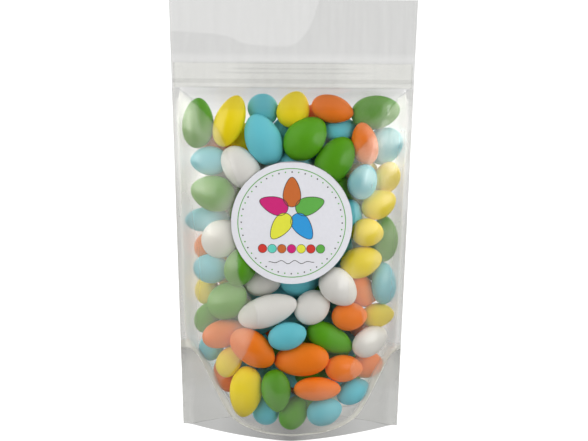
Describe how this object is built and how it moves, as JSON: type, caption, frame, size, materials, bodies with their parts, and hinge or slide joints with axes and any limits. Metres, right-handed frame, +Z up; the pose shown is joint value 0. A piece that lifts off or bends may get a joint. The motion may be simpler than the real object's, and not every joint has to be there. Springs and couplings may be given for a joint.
{
  "type": "pouch of sugared almonds",
  "caption": "Clear stand-up pouch with a press zip, filled with sugared almonds in pastel colours, with a round paper label on its front.",
  "frame": {"origin": "centre of the base, on the table", "axes": "+X across the pouch, -Y out of the front, +Z up towards the zip"},
  "size_m": [0.13, 0.0512, 0.235],
  "materials": {
    "film_over_almonds": "clear glossy film over satin sugar shells",
    "label_paper": "smooth coated paper"
  },
  "bodies": {
    "root": {"pouch": "film_over_almonds", "label": "label_paper"}
  },
  "joints": []
}
